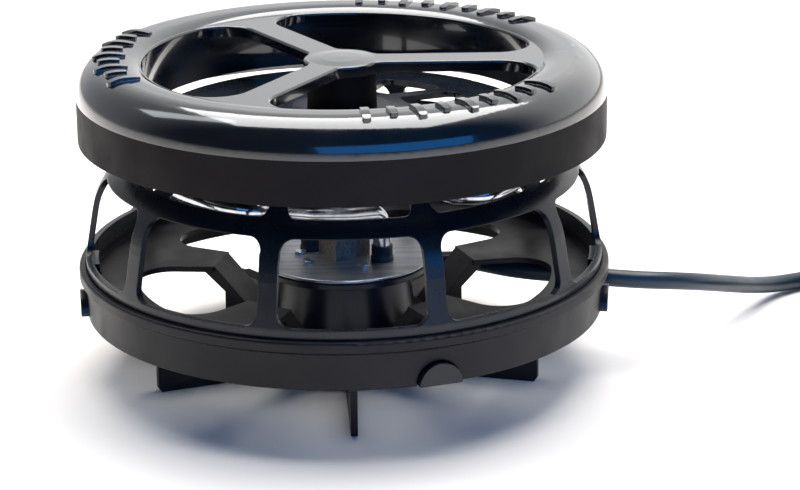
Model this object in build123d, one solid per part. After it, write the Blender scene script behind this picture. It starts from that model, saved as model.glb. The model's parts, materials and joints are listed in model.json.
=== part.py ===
from build123d import *
import math
import os

# Pond de-icer: a float ring screwed onto a domed guard cage, which clips onto a base pan
# with a heater housing in its middle and a foot spider underneath.
# Millimetres, +Z up. The origin is on the floor under the middle of the feet.
# Azimuths are degrees round +Z: 0 is the front, -Y, and 90 is +X.

# heights of the base, stacked from the floor up
FOOT_TOP = 26.0
TRAY_TOP = 20.5            # inside bottom of the tray that the heater housing stands in
BAND_LOW = 31.7
BAND_HEIGHT = 18.3
CAGE_BOTTOM = BAND_LOW + BAND_HEIGHT

# fits and clearances
SEAT_FIT = 0.3             # loose fit between mouldings
THREAD_FIT = 0.06          # radial clearance of the post in its socket
SEAL_FIT = 0.05
HOLE_FIT = 0.2             # clearance of a screw in its hole
BUSH_FIT = 0.05            # round parts pushed together
CORD_FIT = 0.02            # rubber bushes round the cord

# guard cage
CAGE_R = 116.6             # outside of the cage at its foot
CAGE_HEIGHT = 73.5
CAGE_WALL = 2.7
CAGE_TOP = CAGE_BOTTOM + CAGE_HEIGHT
CAGE_LINE = ((CAGE_R, CAGE_BOTTOM), (CAGE_R, CAGE_BOTTOM + 7.4), (CAGE_R - 3.5, CAGE_TOP - 46.5),
             (CAGE_R - 6.7, CAGE_TOP - 31.0), (CAGE_R - 17.6, CAGE_TOP - 23.3),
             (CAGE_R - 26.0, CAGE_TOP - 12.0), (CAGE_R - 30.6, CAGE_TOP - 4.7),
             (66.0, CAGE_TOP - 3.7), (40.0, CAGE_TOP - 1.5), (22.0, CAGE_TOP))
CAGE_ROUNDINGS = (0, 8, 20, 30, 7, 6, 4, 20, 30, 0)
WINDOW_LOW = CAGE_BOTTOM + 8.0
WINDOW_HIGH = CAGE_TOP - 29.3
WINDOW_CORNER = 6.0
POST_COUNT = 10
POST_PITCH = 360 / POST_COUNT
POST_START = 19.5          # azimuth of the first cage post
CAGE_POST_WIDTH = 8.3
TOP_WINDOW_R = (CAGE_R - 28.0, CAGE_R - 18.1)
INNER_WINDOW_R = (29.0, 60.0)
CAGE_SPOKE_WIDTH = 7.0
SOCKET_WALL = 3.0
SOCKET_FLANGE_R = 23.0
HOOK_AZIMUTHS = (19.5, 83.0, 199.5, 275.0)
HOOK_HALF_WIDTH = 10.0

# float ring
FLOAT_R = 118.0            # outside of the float ring
FLOAT_BOTTOM = CAGE_TOP - 11.5
FLOAT_PART = FLOAT_BOTTOM + 19.5   # parting line between base shell and cover
FLOAT_TOP = FLOAT_BOTTOM + 35.5
FLOAT_MID_R = FLOAT_R - 15.0       # radius of the crown
FLOAT_BORE_R = 88.7
FLOAT_BORE_BOTTOM = FLOAT_BOTTOM + 8.5
FLOAT_WALL = 2.6
SPOKE_WIDTH = 15.0
SPOKE_THICK = 5.0
SPOKE_ROUND = 1.2
SPOKE_TOP = FLOAT_TOP - 2.3
SPOKE_AZIMUTHS = (90, -30, -150)
HUB_R = 17.0
RIB_RISE = 1.6             # raised grip ribs on the crown
RIB_WIDTH = 3.6
RIB_SPREAD = 6.2           # degrees from rib to rib
RIBS_IN_GROUP = 9

# screw post under the float
POST_R = 15.5
POST_WALL = 3.5
POST_BOTTOM = CAGE_TOP - 20.5
SEAL_HEIGHT = 4.0
SEAL_DEPTH = 2.4
SEAL_BOTTOM = POST_BOTTOM + 3.0

# base pan
BAND_R = CAGE_R + 0.2
BAND_WALL = 2.8
BEAD_R = CAGE_R + 3.2
BEAD_LOW = CAGE_BOTTOM - 2.5
BEAD_HIGH = CAGE_BOTTOM + 4.0
HOOK_REACH = BEAD_R + 0.2  # radius that the hook heads stand out to
FLOOR_TOP = CAGE_BOTTOM - 3.5
FLOOR_THICK = 2.5
FLOOR_INNER_R = 60.0
OPENING_R = BAND_R - 22.8  # outer edge of the floor's openings
OPENING_HALF = 25.0        # degrees
OPENING_CORNER = 15.0
OPENING_START = 2.0        # azimuth of the first floor opening
ARM_COUNT = 5
ARM_PITCH = 360 / ARM_COUNT
ARM_WIDTH = 21.0
WEB_THICK = 3.0
WEB_R = 57.0
TRAY_THICK = 2.5
TRAY_LIP = 6.0

# heater housing
HOUSING_LOW_R = 32.0
HOUSING_DRAFT = 2.1        # the cup is this much narrower at its top
HOUSING_TOP_R = HOUSING_LOW_R - HOUSING_DRAFT
HOUSING_WALL = 2.4
HOUSING_HEIGHT = 31.2
HOUSING_BOTTOM_THICK = 3.0
HOUSING_TOP = TRAY_TOP + HOUSING_HEIGHT
FLANGE_R = HOUSING_TOP_R + 9.1
FLANGE_THICK = 2.4
GASKET_THICK = 0.8
LID_THICK = 1.2
LID_TOP = HOUSING_TOP + GASKET_THICK + LID_THICK
TRAY_R = HOUSING_LOW_R + SEAT_FIT + 4.7
BOSS_R = 3.6
BOSS_CIRCLE = 20.0
LID_SCREW_AZIMUTHS = (25, 205, -55, 125, -95, 85)
SCREW_SHANK_R = 1.4
SCREW_HEAD_R = 2.7
SCREW_HEAD_HIGH = 1.2
SCREW_LENGTH = 9.0

# heating element
TUBE_R = 4.0
RING_R = CAGE_R - 33.6
RING_Z = CAGE_TOP - 26.0
RING_ENDS = (42, 330)      # azimuths where the ring's two ends turn inwards
RING_STEPS = 12
FERRULE_A = (-15.0, 8.0)
FERRULE_B = (17.0, -9.0)
FERRULE_R = 5.2
FERRULE_HIGH = 7.0
ELEMENT_LOW = LID_TOP - 9.7
BLOCK_SIZE = (18.0, 15.0)
BLOCK_TOP = LID_TOP + 33.3

# foot spider
FOOT_R = 90.0
FIN_TIP = 3.0
RAIL_WIDTH = 7.0
FOOT_HUB_R = TRAY_R - 3.0
FOOT_HUB_LOW = 12.0
FOOT_SCREW_CIRCLE = 26.0

# cord
CORD_R = 4.1
GLAND_R = CORD_R + 1.0
GLAND_COLLAR_R = CORD_R + 1.9
COIL_MIDDLE = (281.0, 54.0)
COIL_R = 47.0              # middle of the turns
COIL_HALF_WIDTH = 8.2
COIL_HIGH = 22.6
ENTRY = COIL_MIDDLE[1] + COIL_R + CORD_R
PLUG_END = (COIL_MIDDLE[0] + COIL_R + 3.0, -18.0, 13.0)
CORD_START = (104.0, 12.5, 37.9)
OUTER_ROUTE = (CORD_START, (130.0, 4.1, 37.7), (157.0, 12.0, 34.0), (178.0, 37.0, 24.0),
               (195.0, 67.0, 12.6), (212.0, 90.0, 4.9), (236.0, ENTRY - 1.9, 4.2),
               (258.0, ENTRY, 4.15), (COIL_MIDDLE[0], ENTRY, 4.1))
INNER_ROUTE = ((15.1, 22.4, 37.5), (50.0, 42.6, 37.5), (80.0, 20.3, 37.8), CORD_START)
TAIL_ROUTE = ((COIL_MIDDLE[0] + COIL_R, COIL_MIDDLE[1] + 1.0, 17.0),
              (COIL_MIDDLE[0] + COIL_R + 0.2, 40.0, 16.0),
              (COIL_MIDDLE[0] + COIL_R + 1.6, 22.0, 13.8), PLUG_END)
LEAD_MIDDLES = ((4.5, 12.8), (8.0, 9.0))


def spot(radius, azimuth, height=0.0):
    """Point at a radius, azimuth and height."""
    turn = math.radians(azimuth)
    return Vector(radius * math.sin(turn), -radius * math.cos(turn), height)


def placed(shape, azimuth):
    """A shape built towards +X, turned to an azimuth."""
    return Rot(0, 0, azimuth - 90) * shape


def turned(points, rounding=0.0, arc=360.0):
    """Solid turned about Z from a closed outline of (radius, height) points."""
    outline = FilletPolyline(*[(r, 0, z) for r, z in points], radius=rounding, close=True)
    return revolve(make_face(outline), Axis.Z, revolution_arc=arc)


def ring(inner, outer, low, high):
    """Plain ring of rectangular section."""
    return turned([(inner, low), (outer, low), (outer, high), (inner, high)])


def disc(radius, low, high, centre=(0, 0)):
    """Upright cylinder between two heights."""
    shape = Cylinder(radius, high - low, align=(Align.CENTER, Align.CENTER, Align.MIN))
    return Pos(centre[0], centre[1], low) * shape


def block(x_size, y_size, low, high, x_start=None):
    """Upright box between two heights, centred, or starting at an x."""
    x_align = Align.CENTER if x_start is None else Align.MIN
    shape = Box(x_size, y_size, high - low, align=(x_align, Align.CENTER, Align.MIN))
    return Pos(x_start or 0, 0, low) * shape


def sector(inner, outer, low, high, half, azimuth, corner=0.0, upright=True):
    """Ring sector about an azimuth; its upright or its radial edges may be rounded."""
    points = [(inner, low), (outer, low), (outer, high), (inner, high)]
    shape = placed(Rot(0, 0, -half) * turned(points, arc=2 * half), azimuth)
    if corner == 0:
        return shape
    lines = shape.edges().filter_by(GeomType.LINE)
    along_z = lines.filter_by(Axis.Z)
    chosen = along_z if upright else [e for e in lines if e not in along_z]
    return fillet(chosen, corner)


def inset(line, wall):
    """The same open outline moved inwards by the wall, corner by corner."""
    points = [complex(r, z) for r, z in line]
    steps = [(b - a) / abs(b - a) for a, b in zip(points, points[1:])]
    before = [steps[0]] + steps
    after = steps + [steps[-1]]
    moved = []
    for point, a, b in zip(points, before, after):
        normal = (a + b) * 1j
        moved.append(point + wall * normal / (abs(a + b) * abs(a + b) / 2))
    return [(p.real, p.imag) for p in moved]


def route_wire(points, label):
    """Straight runs joined by the largest arcs that the shorter of two runs allows."""
    route = [Vector(*p) for p in points]
    runs = [b - a for a, b in zip(route, route[1:])]
    radii = []
    for a, b in zip(runs, runs[1:]):
        half_turn = math.radians(a.get_angle(b)) / 2
        radii.append(0.45 * min(a.length, b.length) / math.tan(half_turn))
    print(label, "radii", [round(r) for r in radii])
    return FilletPolyline(*route, radius=radii)


def tube(wire, radius, label):
    """Round tube along a wire, its volume compared with section times length."""
    start = Plane(origin=wire @ 0, z_dir=wire % 0)
    solid = sweep(start * Circle(radius), path=wire)
    print(label, "length", round(wire.length, 1),
          "volume ratio", round(solid.volume / (math.pi * radius ** 2 * wire.length), 4))
    return solid


def screws(places, head_low, head_high, shank_end, head_r=SCREW_HEAD_R):
    """Identical screws: a head between two heights and a shank to shank_end."""
    group = []
    for x, y in places:
        head = disc(head_r, head_low, head_high, (x, y))
        low, high = sorted((shank_end, head_low if shank_end < head_low else head_high))
        group.append(head + disc(SCREW_SHANK_R, low, high, (x, y)))
    return group


# ---------------------------------------------------------------- float

def crown_wire(offset=0.0):
    """Skin of the crown as lines: a quarter ellipse outside and a gentle arc to the bore."""
    centre = (FLOAT_MID_R, FLOAT_PART + 1.0)
    wide = FLOAT_R - FLOAT_MID_R + offset
    high = FLOAT_TOP - centre[1] + offset
    points = []
    for step in range(13):
        angle = math.pi / 2 * step / 12
        points.append((centre[0] + wide * math.cos(angle), 0, centre[1] + high * math.sin(angle)))
    bore = (FLOAT_BORE_R - offset, 0, SPOKE_TOP - 1.5 + offset)
    round_over = (FLOAT_BORE_R + 2.2, 0, SPOKE_TOP + 0.6 + offset)
    return Spline(*points), Spline(points[-1], round_over, bore,
                                   tangents=[(-1, 0, 0), (-0.35, 0, -1)])


def crown_ring(offset, low_outer, low_inner):
    """Solid under the crown skin, down to an outer and an inner lower edge."""
    outside, inside = crown_wire(offset)
    start = outside @ 0
    end = inside @ 1
    foot = (start.X, 0, low_outer)
    inner_foot = (end.X, 0, low_inner)
    outline = [Line(foot, start), outside, inside, Line(end, inner_foot), Line(inner_foot, foot)]
    return revolve(make_face(outline), Axis.Z)


def spider():
    """Flat three-spoked plate inside the float ring, with its openings well rounded."""
    plate = Circle(FLOAT_BORE_R + 1.5)
    openings = Circle(FLOAT_BORE_R - 0.1) - Circle(HUB_R)
    for azimuth in SPOKE_AZIMUTHS:
        openings -= Rot(0, 0, azimuth - 90) * Pos(FLOAT_R / 2, 0) * Rectangle(FLOAT_R, SPOKE_WIDTH)
    tips = openings.vertices().sort_by(lambda v: Vector(v.X, v.Y).length)
    openings = fillet(tips[-6:], 16)
    inner = openings.vertices().sort_by(lambda v: Vector(v.X, v.Y).length)[:6]
    openings = fillet(inner, 5)
    body = extrude(plate - openings, SPOKE_THICK)
    upper_edges = body.edges().group_by(Axis.Z)[-1].sort_by(SortBy.LENGTH)[:-1]
    body = fillet(upper_edges, SPOKE_ROUND)
    return Pos(0, 0, SPOKE_TOP - SPOKE_THICK) * body


def float_cover():
    """Glossy top moulding: hollow crown, bore wall, three spokes and hub."""
    skin = crown_ring(0, FLOAT_PART, FLOAT_BORE_BOTTOM)
    hollow = crown_ring(-FLOAT_WALL, FLOAT_PART - 30, FLOAT_BORE_BOTTOM - 30)
    cover = skin - hollow
    cover -= ring(FLOAT_BORE_R + FLOAT_WALL + 0.01, FLOAT_R + 2, FLOAT_BOTTOM - 40, FLOAT_PART)
    cover += spider()
    cover += turned([(0, SPOKE_TOP - 2), (HUB_R - 2, SPOKE_TOP - 2), (HUB_R - 2, SPOKE_TOP),
                     (HUB_R - 8, SPOKE_TOP + 0.5), (0, SPOKE_TOP + 0.7)], [0, 0, 0, 12, 0])
    cover -= disc(SCREW_SHANK_R + BUSH_FIT, 0, SPOKE_TOP - 1.2)
    band = crown_ring(RIB_RISE, FLOAT_PART + 8, FLOAT_PART + 8)
    band -= crown_ring(-1, FLOAT_BOTTOM, FLOAT_BOTTOM)
    bars = []
    for group in range(3):
        for rib in range(RIBS_IN_GROUP):
            azimuth = 30 + 120 * group + RIB_SPREAD * (rib - (RIBS_IN_GROUP - 1) / 2)
            length = 15.0 if rib % 2 == 0 else 10.0
            bar = block(length, RIB_WIDTH, FLOAT_PART + 9, FLOAT_TOP + 9)
            bar = fillet(bar.edges().filter_by(Axis.Z), 1.2)
            bars.append(placed(Pos(FLOAT_MID_R, 0, 0) * bar, azimuth))
    ribs = band & Compound(bars)
    return cover + ribs


def float_base():
    """Matt lower shell: outer band and a sloping underside in to the bore."""
    low = [(FLOAT_R, FLOAT_BOTTOM), (FLOAT_R, FLOAT_PART),
           (FLOAT_R - FLOAT_WALL, FLOAT_PART), (FLOAT_R - FLOAT_WALL, FLOAT_BOTTOM + 5),
           (FLOAT_BORE_R + FLOAT_WALL + SEAT_FIT, FLOAT_BORE_BOTTOM + FLOAT_WALL + 1),
           (FLOAT_BORE_R + FLOAT_WALL + SEAT_FIT, FLOAT_BORE_BOTTOM), (FLOAT_R - 3, FLOAT_BOTTOM)]
    return turned(low)


def float_foam():
    """Closed-cell ring that fills the hollow of the float."""
    gap = 0.4
    inner = FLOAT_BORE_R + FLOAT_WALL + gap
    outer = FLOAT_R - FLOAT_WALL - gap
    points = [(inner, FLOAT_BORE_BOTTOM + FLOAT_WALL + 2), (outer, FLOAT_BOTTOM + 6),
              (outer, FLOAT_PART + 4), (FLOAT_MID_R + 6, FLOAT_TOP - 7),
              (inner, FLOAT_TOP - 8)]
    return turned(points)


def float_post():
    """Hollow threaded post under the hub, with a groove for its seal."""
    top = SPOKE_TOP - SPOKE_THICK
    inner = POST_R - POST_WALL
    body = ring(inner - 1.0, POST_R, POST_BOTTOM, top) + disc(POST_R, top - 4, top)
    groove = ring(POST_R - SEAL_DEPTH, POST_R + 1, SEAL_BOTTOM - 0.2,
                  SEAL_BOTTOM + SEAL_HEIGHT + 0.2)
    return body - groove - disc(SCREW_SHANK_R + HOLE_FIT, top - 5, top + 1)


def post_screw():
    top = SPOKE_TOP - SPOKE_THICK
    return screws([(0, 0)], top - 6.2, top - 4, SPOKE_TOP - 1.5, 3.2)[0]


def post_seal():
    """Square-section sealing ring in the groove of the post."""
    return ring(POST_R - SEAL_DEPTH + SEAL_FIT, POST_R + THREAD_FIT - SEAL_FIT / 2,
                SEAL_BOTTOM, SEAL_BOTTOM + SEAL_HEIGHT)


# ---------------------------------------------------------------- cage

def hook(azimuth):
    """Snap arm inside the pan's band with a half-round head that comes through it."""
    inner = BAND_R - BAND_WALL - SEAT_FIT - CAGE_WALL
    half = math.degrees(HOOK_HALF_WIDTH / inner)
    arm = sector(inner, BAND_R - BAND_WALL - SEAT_FIT, BAND_LOW, CAGE_BOTTOM + 2, half, azimuth)
    arm += sector(inner, CAGE_LINE[0][0] - 1, CAGE_BOTTOM + SEAT_FIT, WINDOW_LOW - 1, half, azimuth)
    head = Cylinder(HOOK_HALF_WIDTH - 0.5, HOOK_REACH - inner,
                    align=(Align.CENTER, Align.CENTER, Align.MIN))
    head = Pos(inner, 0, BAND_LOW + 0.6) * Rot(0, 90, 0) * head
    head &= block(60, 60, BAND_LOW + 0.6, CAGE_BOTTOM - 2, x_start=inner)
    head &= disc(HOOK_REACH, 0, CAGE_TOP)
    return arm + placed(head, azimuth)


def cage():
    """Domed guard: tapered wall, ten posts, windows, spoked dome and central socket."""
    inner_line = inset(CAGE_LINE, CAGE_WALL)
    inner_roundings = [max(0, radius - CAGE_WALL) for radius in CAGE_ROUNDINGS]
    points = list(CAGE_LINE) + inner_line[::-1]
    shell = turned(points, list(CAGE_ROUNDINGS) + inner_roundings[::-1])
    cutters = []
    half = POST_PITCH / 2 - math.degrees(CAGE_POST_WIDTH / 2 / (CAGE_R - 3.6))
    top_half = POST_PITCH / 2 - math.degrees(CAGE_SPOKE_WIDTH / 2 / TOP_WINDOW_R[0])
    for number in range(POST_COUNT):
        azimuth = POST_START + POST_PITCH * (number + 0.5)
        cutters.append(sector(CAGE_R - 20, CAGE_R + 8, WINDOW_LOW, WINDOW_HIGH, half, azimuth,
                              WINDOW_CORNER, upright=False))
        cutters.append(sector(*TOP_WINDOW_R, WINDOW_HIGH + 2, CAGE_TOP + 2, top_half, azimuth, 4))
        cutters.append(inner_window(azimuth))
    shell -= Compound(cutters)
    bore = POST_R + THREAD_FIT
    shell += ring(bore, bore + SOCKET_WALL, POST_BOTTOM - 1, CAGE_TOP - 0.1)
    shell += ring(bore, SOCKET_FLANGE_R, CAGE_TOP - 3.9, CAGE_TOP - 0.1)
    for azimuth in HOOK_AZIMUTHS:
        shell += hook(azimuth)
    return shell


def inner_window(azimuth):
    """Three-cornered window between two spokes of the dome."""
    slope = math.tan(math.radians(POST_PITCH / 2))
    near, far = INNER_WINDOW_R
    side = CAGE_SPOKE_WIDTH / 2
    outline = Polygon((near, near * slope - side), (far, far * slope - side),
                      (far + 1.5, 0), (far, side - far * slope),
                      (near, side - near * slope), align=None)
    outline = fillet(outline.vertices(), 3.5)
    return placed(Pos(0, 0, CAGE_TOP - 8) * extrude(outline, 18, both=True), azimuth)


# ---------------------------------------------------------------- base pan

def arm(azimuth):
    """Sloping arm from the floor down to the tray, with an upright web under it."""
    drop = FLOOR_TOP - TRAY_TOP + TRAY_THICK
    start = TRAY_R - 1.5
    section = [(FLOOR_INNER_R + 4, FLOOR_TOP), (FLOOR_INNER_R - 1, FLOOR_TOP),
               (start, FLOOR_TOP - drop + TRAY_THICK), (start, FLOOR_TOP - drop),
               (FLOOR_INNER_R + 4, FLOOR_TOP - FLOOR_THICK)]
    face = make_face(Polyline(*[(r, 0, z) for r, z in section], close=True))
    plate = extrude(face, ARM_WIDTH / 2, both=True)
    web = make_face(Polyline((start, 0, TRAY_TOP - TRAY_THICK), (WEB_R, 0, TRAY_TOP - 1),
                             (WEB_R, 0, FLOOR_TOP - 2), close=True))
    return placed(plate + extrude(web, WEB_THICK / 2, both=True), azimuth)


def floor_plate():
    """Flat floor with five rounded openings that break out at its inner edge."""
    outline = Circle(BAND_R - BAND_WALL + 1) - Circle(FLOOR_INNER_R)
    side = Vector(OPENING_R * 1.5, 0).rotate(Axis.Z, OPENING_HALF)
    wedge = make_face(Polyline(Vector(0, 0), side, Vector(side.X, -side.Y), close=True))
    opening = (Circle(OPENING_R) & wedge) - Circle(FLOOR_INNER_R - 6)
    opening = fillet(opening.vertices().sort_by(Axis.X)[2:], OPENING_CORNER)
    for number in range(ARM_COUNT):
        outline -= Rot(0, 0, OPENING_START + ARM_PITCH * number - 90) * opening
    return Pos(0, 0, FLOOR_TOP - FLOOR_THICK) * extrude(outline, FLOOR_THICK, dir=(0, 0, 1))


def base_pan():
    """Band with a bead round its top, floor with five openings, arms and tray."""
    seat = CAGE_LINE[0][0] + SEAT_FIT
    inner = BAND_R - BAND_WALL
    section = [(inner, BAND_LOW), (BAND_R, BAND_LOW), (BAND_R, BEAD_LOW),
               (BEAD_R, BEAD_LOW + 1.8), (BEAD_R, BEAD_HIGH), (seat, BEAD_HIGH),
               (seat, CAGE_BOTTOM), (inner, CAGE_BOTTOM)]
    pan = turned(section, [0.6, 0.6, 0, 0, 1.4, 0, 0, 0]) + floor_plate()
    wall_r = HOUSING_LOW_R + SEAT_FIT
    tray = turned([(0, TRAY_TOP - TRAY_THICK), (TRAY_R, TRAY_TOP - TRAY_THICK),
                   (TRAY_R, TRAY_TOP + TRAY_LIP), (wall_r, TRAY_TOP + TRAY_LIP), (wall_r, TRAY_TOP),
                   (0, TRAY_TOP)])
    for number in range(ARM_COUNT):
        pan += arm(OPENING_START + ARM_PITCH * (number + 0.5))
    pan += tray
    for azimuth in HOOK_AZIMUTHS:
        pan -= hook_slot(azimuth)
        pan -= hook_notch(azimuth)
    pan -= cord_hole(GLAND_R + HOLE_FIT)
    for azimuth in screw_azimuths():
        place = spot(FOOT_SCREW_CIRCLE, azimuth)
        pan -= disc(SCREW_SHANK_R + HOLE_FIT, 0, TRAY_TOP + 1, (place.X, place.Y))
    return pan


def hook_slot(azimuth):
    """Slot in the floor for the arm of a snap hook."""
    inner = BAND_R - BAND_WALL - SEAT_FIT - CAGE_WALL
    half = math.degrees((HOOK_HALF_WIDTH + 0.6) / inner)
    return sector(inner - 0.5, inner + CAGE_WALL + SEAT_FIT / 2, FLOOR_TOP - 6, FLOOR_TOP + 1,
                  half, azimuth)


def hook_notch(azimuth):
    """Round-topped notch in the band's lower edge for the head of a snap hook."""
    centre = BAND_LOW + 0.6
    outline = Pos(0, centre) * Circle(HOOK_HALF_WIDTH)
    outline += Pos(0, centre - 6) * Rectangle(HOOK_HALF_WIDTH * 2, 12)
    cut = extrude(Plane.YZ * outline, 12, dir=(1, 0, 0))
    return placed(Pos(BAND_R - BAND_WALL - 3, 0, 0) * cut, azimuth)


def cord_hole(radius):
    """Round cut through the band along the cord's way out."""
    away = Vector(*OUTER_ROUTE[1]) - Vector(*CORD_START)
    return extrude(Plane(origin=Vector(*CORD_START), z_dir=away) * Circle(radius), 24)


# ---------------------------------------------------------------- heater housing

def boss_places():
    return [spot(BOSS_CIRCLE, azimuth) for azimuth in LID_SCREW_AZIMUTHS]


def housing():
    """Tapered cup with a wide flange and six screw bosses."""
    top = HOUSING_TOP
    cup = turned([(0, TRAY_TOP), (HOUSING_LOW_R, TRAY_TOP), (HOUSING_TOP_R, top - FLANGE_THICK),
                  (FLANGE_R, top - FLANGE_THICK), (FLANGE_R, top), (0, top)])
    inside = TRAY_TOP + HOUSING_BOTTOM_THICK
    cup -= turned([(0, inside), (HOUSING_LOW_R - HOUSING_WALL, inside),
                   (HOUSING_TOP_R - HOUSING_WALL, top + 1), (0, top + 1)])
    for place in boss_places():
        cup += disc(BOSS_R, TRAY_TOP, top, (place.X, place.Y))
        cup -= disc(SCREW_SHANK_R, top - SCREW_LENGTH, top + 1, (place.X, place.Y))
    for azimuth in screw_azimuths():
        place = spot(FOOT_SCREW_CIRCLE, azimuth)
        cup -= disc(SCREW_SHANK_R, 0, inside - 0.6, (place.X, place.Y))
    start = Vector(*INNER_ROUTE[0])
    away = Vector(*INNER_ROUTE[1]) - start
    bore = extrude(Plane(origin=start, z_dir=away) * Circle(CORD_R + 1.6), 16)
    return cup - bore


def plate_holes():
    """Cuts for the element's two seals and the lid screws."""
    low, high = HOUSING_TOP - 5, LID_TOP + 5
    cuts = [disc(TUBE_R + BUSH_FIT, low, high, place) for place in (FERRULE_A, FERRULE_B)]
    cuts += [disc(SCREW_SHANK_R + HOLE_FIT, low, high, (p.X, p.Y)) for p in boss_places()]
    return Compound(cuts)


def housing_lid():
    """Round steel plate on the housing, its edge just broken."""
    low = LID_TOP - LID_THICK
    plate = turned([(0, low), (FLANGE_R, low), (FLANGE_R, LID_TOP), (0, LID_TOP)], [0, 0, 0.5, 0])
    return plate - plate_holes()


def lid_gasket():
    low = HOUSING_TOP
    gasket = ring(HOUSING_TOP_R - HOUSING_WALL - 1, FLANGE_R - 1, low, low + GASKET_THICK)
    return gasket - plate_holes()


def lid_screws():
    places = [(p.X, p.Y) for p in boss_places()]
    return screws(places, LID_TOP, LID_TOP + SCREW_HEAD_HIGH, HOUSING_TOP - SCREW_LENGTH + 1)


def sensor_block():
    """Square metal block on the lid, turned to face the element's legs."""
    shape = block(*BLOCK_SIZE, LID_TOP, BLOCK_TOP)
    shape = chamfer(shape.edges().group_by(Axis.Z)[-1], 0.8)
    return Rot(0, 0, 31) * shape


def element_route():
    """Way of the element and its corner radii: leg, open ring of twelve steps, leg."""
    first, last = RING_ENDS
    step = (last - first) / RING_STEPS
    out = RING_R / math.cos(math.radians(step / 2))
    ring_points = [spot(out, first + step * number, RING_Z) for number in range(RING_STEPS + 1)]
    points = [Vector(*FERRULE_A, ELEMENT_LOW), Vector(*FERRULE_A, RING_Z)] + ring_points
    points += [spot(48, -22, RING_Z - 11.5), spot(26, 4, RING_Z - 17.5),
               Vector(*FERRULE_B, RING_Z - 21.5)]
    points += [Vector(*FERRULE_B, ELEMENT_LOW)]
    radii = [10, 13] + [RING_R - 3] * (RING_STEPS - 1) + [13, 40, 40, 9]
    return points, radii


def heating_element():
    """Round tube bent into an open ring, its ends turned in and down to the lid."""
    points, radii = element_route()
    return tube(FilletPolyline(*points, radius=radii), TUBE_R, "element")


def element_seals():
    """Bushes that seal the element's legs in the lid."""
    group = []
    bore = TUBE_R + BUSH_FIT
    top = LID_TOP + FERRULE_HIGH
    for x, y in (FERRULE_A, FERRULE_B):
        bush = turned([(bore, LID_TOP), (FERRULE_R, LID_TOP), (FERRULE_R, LID_TOP + 1.6),
                       (FERRULE_R - 0.4, LID_TOP + 2.4), (FERRULE_R - 0.4, top), (bore, top)])
        group.append(Pos(x, y, 0) * bush)
    return group


def terminals():
    """Contact pins that stand out of the element's lower ends."""
    return [disc(1.2, ELEMENT_LOW - 6, ELEMENT_LOW, place) for place in (FERRULE_A, FERRULE_B)]


def thermostat():
    """Snap-disc thermostat held flat under the lid."""
    top = LID_TOP - LID_THICK - 0.1
    body = disc(7.6, top - 9, top - 3) + disc(8.6, top - 3, top)
    return body + block(4, 12, top - 11, top - 9)


def thermal_cutout():
    """Small cylindrical cut-out lying beside the thermostat."""
    return Pos(-2, -16.5, LID_TOP - 9.7) * Rot(0, 90, 0) * Cylinder(2.2, 11)


def potting():
    """Sealing compound filling the bottom of the housing between its bosses."""
    low = TRAY_TOP + HOUSING_BOTTOM_THICK
    fill = disc(HOUSING_TOP_R - HOUSING_WALL - 1.5, low, low + 5)
    for place in boss_places():
        fill -= disc(BOSS_R + HOLE_FIT, low - 1, low + 6, (place.X, place.Y))
    return fill


def lead_wires():
    """Two insulated leads from the cord's end to the element's pins."""
    inner = Vector(*INNER_ROUTE[0])
    group = []
    for side, middle, (x, y) in zip((-1.7, 1.7), LEAD_MIDDLES, (FERRULE_A, FERRULE_B)):
        start = inner + Vector(side, -side * 0.6, 0)
        high = Vector(x, y, ELEMENT_LOW - 7.5)
        wire = FilletPolyline(start, Vector(*middle, 34 + side), high, radius=[2.5])
        group.append(tube(wire, 1.1, "lead"))
    return group


def housing_gland():
    """Rubber bush round the cord in the housing wall."""
    start = Vector(*INNER_ROUTE[0])
    away = (Vector(*INNER_ROUTE[1]) - start).normalized()
    plane = Plane(origin=start + away * 2.5, z_dir=away)
    bush = extrude(plane * (Circle(CORD_R + 1.5) - Circle(CORD_R + CORD_FIT)), 10)
    collar = extrude(Plane(origin=start + away * 8.5, z_dir=away)
                     * (Circle(CORD_R + 3) - Circle(CORD_R + CORD_FIT)), 4)
    return bush + collar


# ---------------------------------------------------------------- feet

def screw_azimuths():
    return [OPENING_START + ARM_PITCH * (number + 0.5) for number in range(ARM_COUNT)]


def fin(azimuth):
    """Tapered upright foot, thicker at its root along the top."""
    outline = make_face(Polyline((FOOT_HUB_R - 6, 0, 0), (FOOT_R - 1.5, 0, 0), (FOOT_R, 0, 2),
                                 (FOOT_R, 0, FOOT_TOP - 5), (FOOT_R - 9, 0, FOOT_TOP),
                                 (TRAY_R + 4, 0, FOOT_TOP), (TRAY_R + 1, 0, TRAY_TOP - 3),
                                 (FOOT_HUB_R - 6, 0, TRAY_TOP - 3), close=True))
    plate = extrude(outline, FIN_TIP / 2, both=True)
    rail = block(FOOT_R - 15 - TRAY_R, RAIL_WIDTH, FOOT_TOP - 3, FOOT_TOP, x_start=TRAY_R + 4)
    return placed(plate + rail, azimuth)


def foot_spider():
    """Hub plate with five radial fins that the unit stands on."""
    top = TRAY_TOP - TRAY_THICK
    spider_hub = disc(FOOT_HUB_R, FOOT_HUB_LOW, top)
    for number in range(ARM_COUNT):
        spider_hub += fin(OPENING_START + ARM_PITCH * number)
    for azimuth in screw_azimuths():
        place = spot(FOOT_SCREW_CIRCLE, azimuth)
        spider_hub -= disc(SCREW_SHANK_R + HOLE_FIT, 0, 30, (place.X, place.Y))
        spider_hub -= disc(SCREW_HEAD_R + SEAT_FIT, 0, FOOT_HUB_LOW + 2, (place.X, place.Y))
    return spider_hub


def foot_screws():
    places = [spot(FOOT_SCREW_CIRCLE, azimuth) for azimuth in screw_azimuths()]
    return screws([(p.X, p.Y) for p in places], FOOT_HUB_LOW + 0.6, FOOT_HUB_LOW + 2,
                  TRAY_TOP + HOUSING_BOTTOM_THICK - 0.8)


# ---------------------------------------------------------------- cord

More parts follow.
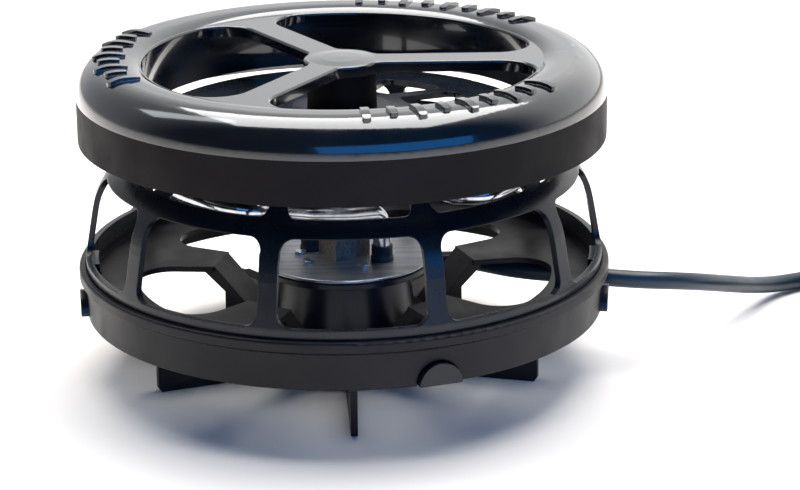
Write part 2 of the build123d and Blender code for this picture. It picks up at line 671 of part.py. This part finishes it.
def cord_gland():
    """Rubber bush that grips the band round the cord, with a collar inside the band."""
    start = Vector(*CORD_START)
    away = (Vector(*OUTER_ROUTE[1]) - start).normalized()
    plane = Plane(origin=start + away * 3, z_dir=away)
    bore = CORD_R + CORD_FIT
    points = [(bore, 0), (GLAND_COLLAR_R, 0), (GLAND_COLLAR_R, 4), (GLAND_R, 4), (GLAND_R, 14),
              (GLAND_R - 0.5, 14.5), (bore, 14.5)]
    face = make_face(Polyline(*[(r, 0, z) for r, z in points], close=True))
    return plane.location * revolve(face, Axis.Z)


def inner_cord():
    """Cord held inside the pan, from the housing round to the gland."""
    return tube(route_wire(INNER_ROUTE, "inner cord"), CORD_R, "inner cord")


def cord_tube():
    """Free cord from the gland down to the floor and along to the coil."""
    return tube(route_wire(OUTER_ROUTE, "cord"), CORD_R, "cord")


def cord_tail():
    """Last stretch of the cord, from the coil to the plug."""
    return tube(route_wire(TAIL_ROUTE, "tail"), CORD_R, "tail")


def cord_coil():
    """Outer shape of the coiled cord."""
    inner = COIL_R - COIL_HALF_WIDTH
    outer = COIL_R + COIL_HALF_WIDTH
    coil = turned([(inner, 0), (outer, 0), (outer, COIL_HIGH), (inner, COIL_HIGH)], 3)
    return Pos(*COIL_MIDDLE, 0) * coil


def plug_body():
    """Moulded plug: waisted grip, square face and tapered tail."""
    x, y, z = PLUG_END
    sections = ((0, 6.5, 6.5), (-9, 8.5, 7.5), (-16, 11.0, 9.5), (-30, 10.0, 9.0),
                (-38, 13.0, 12.0), (-44, 13.0, 12.0))
    faces = []
    for along, half_x, half_z in sections:
        plane = Plane(origin=(x, y + along, z), x_dir=(1, 0, 0), z_dir=(0, -1, 0))
        faces.append(plane * RectangleRounded(half_x * 2, half_z * 2, min(half_x, half_z) * 0.6))
    return loft(faces, ruled=True)


def plug_pins():
    """Two flat blades and a round earth pin."""
    x, y, z = PLUG_END
    face = y - 44
    pins = [Pos(x + side * 6.3, face - 8, z + 2.5) * Box(1.5, 16, 6.3) for side in (-1, 1)]
    earth = Pos(x, face - 9, z - 6) * Rot(90, 0, 0) * Cylinder(2.4, 18)
    return pins + [earth]


PARTS = {
    "float_cover": float_cover, "float_base": float_base, "float_foam": float_foam,
    "float_post": float_post, "post_screw": post_screw, "post_seal": post_seal,
    "cage": cage, "base_pan": base_pan, "heater_housing": housing, "housing_lid": housing_lid,
    "lid_gasket": lid_gasket, "lid_screws": lid_screws, "sensor_block": sensor_block,
    "heating_element": heating_element, "element_seals": element_seals,
    "element_pins": terminals, "thermostat": thermostat, "thermal_cutout": thermal_cutout,
    "potting": potting, "lead_wires": lead_wires, "housing_gland": housing_gland,
    "foot_spider": foot_spider, "foot_screws": foot_screws, "inner_cord": inner_cord,
    "cord_gland": cord_gland, "cord_tube": cord_tube, "cord_coil": cord_coil,
    "cord_tail": cord_tail, "plug_body": plug_body, "plug_pins": plug_pins,
}

os.makedirs("parts", exist_ok=True)
for name, make in PARTS.items():
    made = make()
    shape = Compound(made) if isinstance(made, list) else made
    shape.label = name
    export_step(shape, f"parts/{name}.step")
    box = shape.bounding_box()
    print(name, "solids", len(shape.solids()), "low", round(box.min.Z, 2),
          "high", round(box.max.Z, 2))
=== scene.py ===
import json
import math
import bpy
import numpy as np
from mathutils import Matrix, Vector

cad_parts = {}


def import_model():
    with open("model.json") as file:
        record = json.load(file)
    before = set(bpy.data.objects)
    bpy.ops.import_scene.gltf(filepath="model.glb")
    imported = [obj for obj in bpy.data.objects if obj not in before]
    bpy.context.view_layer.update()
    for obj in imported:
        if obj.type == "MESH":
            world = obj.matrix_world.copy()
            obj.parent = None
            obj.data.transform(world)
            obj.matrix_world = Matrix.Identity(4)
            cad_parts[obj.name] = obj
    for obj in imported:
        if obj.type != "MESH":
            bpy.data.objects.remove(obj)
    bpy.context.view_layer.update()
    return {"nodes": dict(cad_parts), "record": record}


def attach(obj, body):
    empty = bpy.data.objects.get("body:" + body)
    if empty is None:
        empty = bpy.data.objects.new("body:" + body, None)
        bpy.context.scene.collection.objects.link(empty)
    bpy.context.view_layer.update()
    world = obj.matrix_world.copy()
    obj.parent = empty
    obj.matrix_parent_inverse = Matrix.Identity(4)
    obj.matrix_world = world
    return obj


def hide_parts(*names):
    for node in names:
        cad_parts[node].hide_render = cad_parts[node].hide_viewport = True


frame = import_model()

# Metres. The frame's origin is on the floor under the middle of the feet; -Y is the front.
CORD_RADIUS = 0.0041
COIL_MIDDLE = (0.281, 0.054)
COIL_RADIUS = 0.047
TURN_POINTS = 16           # points in one turn of the coil
LAST_TURN = 0.25           # part of a turn after the last full one
PASSING = 0.3              # part of a turn in which the cord passes to the next place
EDGE_BREAK = 0.0007        # radius to which moulded and cut edges are broken
FLOOR_REACH = 30.0


# ---------------------------------------------------------------- materials

def new_material(name):
    """An empty node material with a Principled shader, and its node tree."""
    material = bpy.data.materials.new(name)
    material.use_nodes = True
    tree = material.node_tree
    return material, tree, tree.nodes["Principled BSDF"]


def add_node(tree, kind, **values):
    """A node of a kind; values that name an input set it, the others set the node."""
    node = tree.nodes.new(kind)
    for key, value in values.items():
        if key in node.inputs:
            node.inputs[key].default_value = value
        else:
            setattr(node, key, value)
    return node


def ramp(tree, source, low, high, out_low, out_high):
    """A value between two limits, mapped smoothly to two others."""
    node = add_node(tree, "ShaderNodeMapRange", interpolation_type="SMOOTHSTEP")
    for key, value in (("From Min", low), ("From Max", high), ("To Min", out_low), ("To Max", out_high)):
        node.inputs[key].default_value = value
    tree.links.new(source, node.inputs["Value"])
    return node.outputs["Result"]


def mixed(tree, factor, first, second):
    """Two colours mixed by a factor."""
    node = add_node(tree, "ShaderNodeMix", data_type="RGBA")
    node.inputs[6].default_value = (*first, 1)
    node.inputs[7].default_value = (*second, 1)
    tree.links.new(factor, node.inputs["Factor"])
    return node.outputs[2]


def noise(tree, scale, detail=3.0, stretch=(1, 1, 1)):
    """Noise on object coordinates, stretched along an axis where wanted."""
    place = add_node(tree, "ShaderNodeTexCoord")
    mapping = add_node(tree, "ShaderNodeMapping")
    mapping.inputs["Scale"].default_value = stretch
    tree.links.new(place.outputs["Object"], mapping.inputs["Vector"])
    node = add_node(tree, "ShaderNodeTexNoise", Scale=scale, Detail=detail)
    tree.links.new(mapping.outputs["Vector"], node.inputs["Vector"])
    return node.outputs["Fac"]


def bump(tree, shader, height, distance):
    """Small relief in the surface from a height, over edges that are slightly broken."""
    edges = add_node(tree, "ShaderNodeBevel", samples=4, Radius=EDGE_BREAK)
    node = add_node(tree, "ShaderNodeBump", Distance=distance)
    tree.links.new(edges.outputs["Normal"], node.inputs["Normal"])
    tree.links.new(height, node.inputs["Height"])
    tree.links.new(node.outputs["Normal"], shader.inputs["Normal"])


def moulded(name, dark, light, rough, rough_spread, grain=900.0, grain_depth=0.00002, coat=0.0,
            flow=14.0, sheen=0.5):
    """Moulded plastic: slow colour drift, uneven gloss and a fine grain in the skin."""
    material, tree, shader = new_material(name)
    drift = noise(tree, flow, 4)
    tree.links.new(mixed(tree, ramp(tree, drift, 0.3, 0.7, 0, 1), dark, light), shader.inputs["Base Color"])
    patchy = noise(tree, flow * 4, 5)
    tree.links.new(ramp(tree, patchy, 0.3, 0.75, rough, rough + rough_spread), shader.inputs["Roughness"])
    bump(tree, shader, noise(tree, grain, 2), grain_depth)
    shader.inputs["IOR"].default_value = 1.5
    shader.inputs["Specular IOR Level"].default_value = sheen
    shader.inputs["Coat Weight"].default_value = coat
    shader.inputs["Coat Roughness"].default_value = 0.04
    return material


def metal(name, dark, light, rough, rough_spread, stretch=(1, 1, 1), scale=300.0, depth=0.00001):
    """Bare metal with brush lines or a light haze along one direction."""
    material, tree, shader = new_material(name)
    lines = noise(tree, scale, 4, stretch)
    tree.links.new(mixed(tree, ramp(tree, lines, 0.35, 0.65, 0, 1), dark, light), shader.inputs["Base Color"])
    tree.links.new(ramp(tree, noise(tree, 40, 4), 0.3, 0.7, rough, rough + rough_spread),
                   shader.inputs["Roughness"])
    bump(tree, shader, lines, depth)
    shader.inputs["Metallic"].default_value = 1.0
    return material


MATERIALS = {
    "float_gloss": moulded("glossy_black", (0.0015, 0.0025, 0.005), (0.003, 0.005, 0.009), 0.12, 0.08,
                           grain=420, grain_depth=0.000004, coat=1.0),
    "float_matt": moulded("matt_black", (0.0035, 0.0025, 0.003), (0.008, 0.0055, 0.0065), 0.5, 0.14,
                          grain=1600, grain_depth=0.00005, sheen=0.14),
    "foam": moulded("white_foam", (0.62, 0.62, 0.6), (0.75, 0.75, 0.73), 0.8, 0.1),
    "cage_plastic": moulded("guard_black", (0.002, 0.004, 0.008), (0.004, 0.007, 0.013), 0.24, 0.1,
                            grain=700, grain_depth=0.00001, sheen=0.4),
    "pan_plastic": moulded("pan_black", (0.004, 0.0035, 0.005), (0.009, 0.008, 0.011), 0.36, 0.14,
                           grain=1200, grain_depth=0.00003, sheen=0.25),
    "housing_plastic": moulded("housing_black", (0.006, 0.007, 0.012), (0.012, 0.013, 0.02), 0.3, 0.1,
                               sheen=0.3),
    "lid_steel": metal("brushed_steel", (0.3, 0.31, 0.34), (0.42, 0.43, 0.46), 0.3, 0.14,
                       stretch=(0.08, 1, 1)),
    "tube_chrome": metal("plated_tube", (0.5, 0.52, 0.56), (0.62, 0.64, 0.68), 0.1, 0.12),
    "block_metal": metal("cast_block", (0.3, 0.26, 0.22), (0.42, 0.37, 0.32), 0.36, 0.14, scale=700),
    "screw_steel": metal("screw_steel", (0.55, 0.56, 0.58), (0.7, 0.71, 0.73), 0.2, 0.1),
    "rubber": moulded("black_rubber", (0.008, 0.010, 0.015), (0.014, 0.016, 0.022), 0.4, 0.12),
    "cord_jacket": moulded("cord_jacket", (0.003, 0.015, 0.028), (0.005, 0.022, 0.038), 0.32, 0.12,
                           grain=1500, grain_depth=0.00004),
    "brass": metal("brass", (0.55, 0.38, 0.16), (0.68, 0.48, 0.22), 0.18, 0.1),
    "potting": moulded("potting", (0.03, 0.03, 0.03), (0.05, 0.05, 0.05), 0.5, 0.1),
    "lead_white": moulded("lead_insulation", (0.6, 0.6, 0.57), (0.7, 0.7, 0.67), 0.4, 0.1),
}
SLOTS = {row["node"]: row["material_slot"] for row in frame["record"]["subparts"]}


def finish_with(piece, slot):
    """Gives a piece the material of a slot and nothing else."""
    piece.data.materials.clear()
    piece.data.materials.append(MATERIALS[slot])


for node_name, node_object in frame["nodes"].items():
    for material_slot in node_object.material_slots:
        material_slot.material = MATERIALS[SLOTS[node_name]]


# ---------------------------------------------------------------- cord

ENTRY = COIL_MIDDLE[1] + COIL_RADIUS + CORD_RADIUS
OUTER_ROUTE = ((0.104, 0.0125, 0.0379), (0.130, 0.0041, 0.0377), (0.157, 0.012, 0.034),
               (0.178, 0.037, 0.024), (0.195, 0.067, 0.0126), (0.212, 0.090, 0.0049),
               (0.236, ENTRY - 0.0019, 0.0042), (0.258, ENTRY, 0.00415),
               (COIL_MIDDLE[0], ENTRY, 0.0041))
PLUG_END = (COIL_MIDDLE[0] + COIL_RADIUS + 0.003, -0.018, 0.013)
TAIL_ROUTE = ((COIL_MIDDLE[0] + COIL_RADIUS, COIL_MIDDLE[1] + 0.001, 0.017),
              (COIL_MIDDLE[0] + COIL_RADIUS + 0.0002, 0.040, 0.016),
              (COIL_MIDDLE[0] + COIL_RADIUS + 0.0016, 0.022, 0.0138), PLUG_END)
# radius and height of the coil's turns in the order they are wound
WINDING = ((COIL_RADIUS + CORD_RADIUS, 0.0041), (COIL_RADIUS - CORD_RADIUS, 0.0043),
           (COIL_RADIUS - CORD_RADIUS, 0.0125), (COIL_RADIUS + CORD_RADIUS, 0.0125),
           (COIL_RADIUS, 0.0178), (COIL_RADIUS, 0.0180))


def coil_points():
    """Clockwise turns: angle falls evenly while radius and height pass from turn to turn."""
    turns = len(WINDING) - 1 + LAST_TURN
    count = int(turns * TURN_POINTS)
    along = np.arange(1, count) / TURN_POINTS
    angle = math.pi / 2 - 2 * math.pi * along
    table = np.array(WINDING + WINDING[-1:])
    index = np.minimum(along.astype(int), len(WINDING) - 1)
    part = np.clip((along - index - (1 - PASSING)) / PASSING, 0, 1)
    smooth = (part * part * (3 - 2 * part))[:, None]
    place = table[index] * (1 - smooth) + table[np.minimum(index + 1, len(table) - 1)] * smooth
    x = COIL_MIDDLE[0] + place[:, 0] * np.cos(angle)
    y = COIL_MIDDLE[1] + place[:, 0] * np.sin(angle)
    return np.stack([x, y, place[:, 1]], 1)


def cord():
    """Free cord as one NURBS line: route down to the floor, coil, tail to the plug."""
    points = np.vstack([OUTER_ROUTE, coil_points(), TAIL_ROUTE[1:]])
    curve = bpy.data.curves.new("cord", "CURVE")
    curve.dimensions = "3D"
    spline = curve.splines.new("NURBS")
    spline.points.add(len(points) - 1)
    spline.points.foreach_set("co", np.hstack([points, np.ones((len(points), 1))]).ravel())
    spline.order_u = 3
    spline.use_endpoint_u = True
    curve.bevel_depth = CORD_RADIUS
    curve.bevel_resolution = 6
    curve.resolution_u = 6
    curve.use_fill_caps = True
    piece = bpy.data.objects.new("cord", curve)
    bpy.context.collection.objects.link(piece)
    finish_with(piece, "cord_jacket")
    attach(piece, "root")
    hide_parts("cord_tube", "cord_coil", "cord_tail")
    return piece


cord()


# ---------------------------------------------------------------- studio

def floor():
    """Pale floor that runs far behind the object."""
    mesh = bpy.data.meshes.new("floor")
    corners = [(x * FLOOR_REACH, y * FLOOR_REACH, 0) for x, y in ((-1, -1), (1, -1), (1, 1), (-1, 1))]
    mesh.from_pydata(corners, [], [(0, 1, 2, 3)])
    piece = bpy.data.objects.new("floor", mesh)
    bpy.context.collection.objects.link(piece)
    material, tree, shader = new_material("pale_floor")
    shader.inputs["Base Color"].default_value = (0.95, 0.9, 0.85, 1)
    shader.inputs["Roughness"].default_value = 0.9
    shader.inputs["Specular IOR Level"].default_value = 0.1
    mesh.materials.append(material)


def area_light(name, place, target, size, power, colour):
    """Soft panel of light aimed at a point."""
    light = bpy.data.lights.new(name, "AREA")
    light.shape = "RECTANGLE"
    light.size, light.size_y = size
    light.energy = power
    light.color = colour
    lamp = bpy.data.objects.new(name, light)
    bpy.context.collection.objects.link(lamp)
    aim = (Vector(target) - Vector(place)).to_track_quat("-Z", "Y")
    lamp.matrix_world = Matrix.Translation(place) @ aim.to_matrix().to_4x4()


def world():
    """Studio all round: bright at the back right, grey at the back left, dim blue at the front."""
    studio = bpy.data.worlds.new("studio")
    bpy.context.scene.world = studio
    studio.use_nodes = True
    tree = studio.node_tree
    place = add_node(tree, "ShaderNodeTexCoord")
    split = add_node(tree, "ShaderNodeSeparateXYZ")
    tree.links.new(place.outputs["Generated"], split.inputs["Vector"])
    back = ramp(tree, split.outputs["Y"], -0.25, 0.35, 0, 1)
    side = ramp(tree, split.outputs["X"], -0.7, 0.5, 0, 1)
    low = mixed(tree, side, (0.05, 0.055, 0.065), (0.014, 0.06, 0.14))
    high = mixed(tree, side, (0.42, 0.43, 0.45), (1.3, 1.3, 1.3))
    colour = add_node(tree, "ShaderNodeMix", data_type="RGBA")
    tree.links.new(back, colour.inputs["Factor"])
    tree.links.new(low, colour.inputs[6])
    tree.links.new(high, colour.inputs[7])
    tree.links.new(colour.outputs[2], tree.nodes["Background"].inputs["Color"])


def camera():
    """Long lens a little above the object, turned and rolled as a hand-held one is."""
    data = bpy.data.cameras.new("camera")
    data.lens = 125.0
    data.sensor_width = 36.0
    eye = Vector((0.0, -1.1992, 0.4466))
    forward = Vector((0.02005, 0.95097, -0.30862)).normalized()
    roll = math.radians(-0.5)
    right = forward.cross(Vector((0, 0, 1))).normalized()
    above = right.cross(forward)
    side = math.cos(roll) * right + math.sin(roll) * above
    top = -math.sin(roll) * right + math.cos(roll) * above
    turn = Matrix((side, top, -forward)).transposed().to_4x4()
    piece = bpy.data.objects.new("camera", data)
    bpy.context.collection.objects.link(piece)
    piece.matrix_world = Matrix.Translation(eye) @ turn
    bpy.context.scene.camera = piece


floor()
area_light("key", (0.1, 0.45, 1.9), (0, -0.05, 0.0), (2.0, 1.7), 72, (1, 0.995, 0.985))
area_light("top_left", (-0.9, 0.3, 1.3), (0, 0, 0.1), (0.35, 0.8), 3, (0.9, 0.96, 1))
area_light("blue_panel", (0.5, -1.25, 0.45), (0, 0, 0.12), (1.7, 0.55), 7, (0.03, 0.29, 0.9))
world()
camera()
bpy.context.scene.view_settings.view_transform = "Standard"
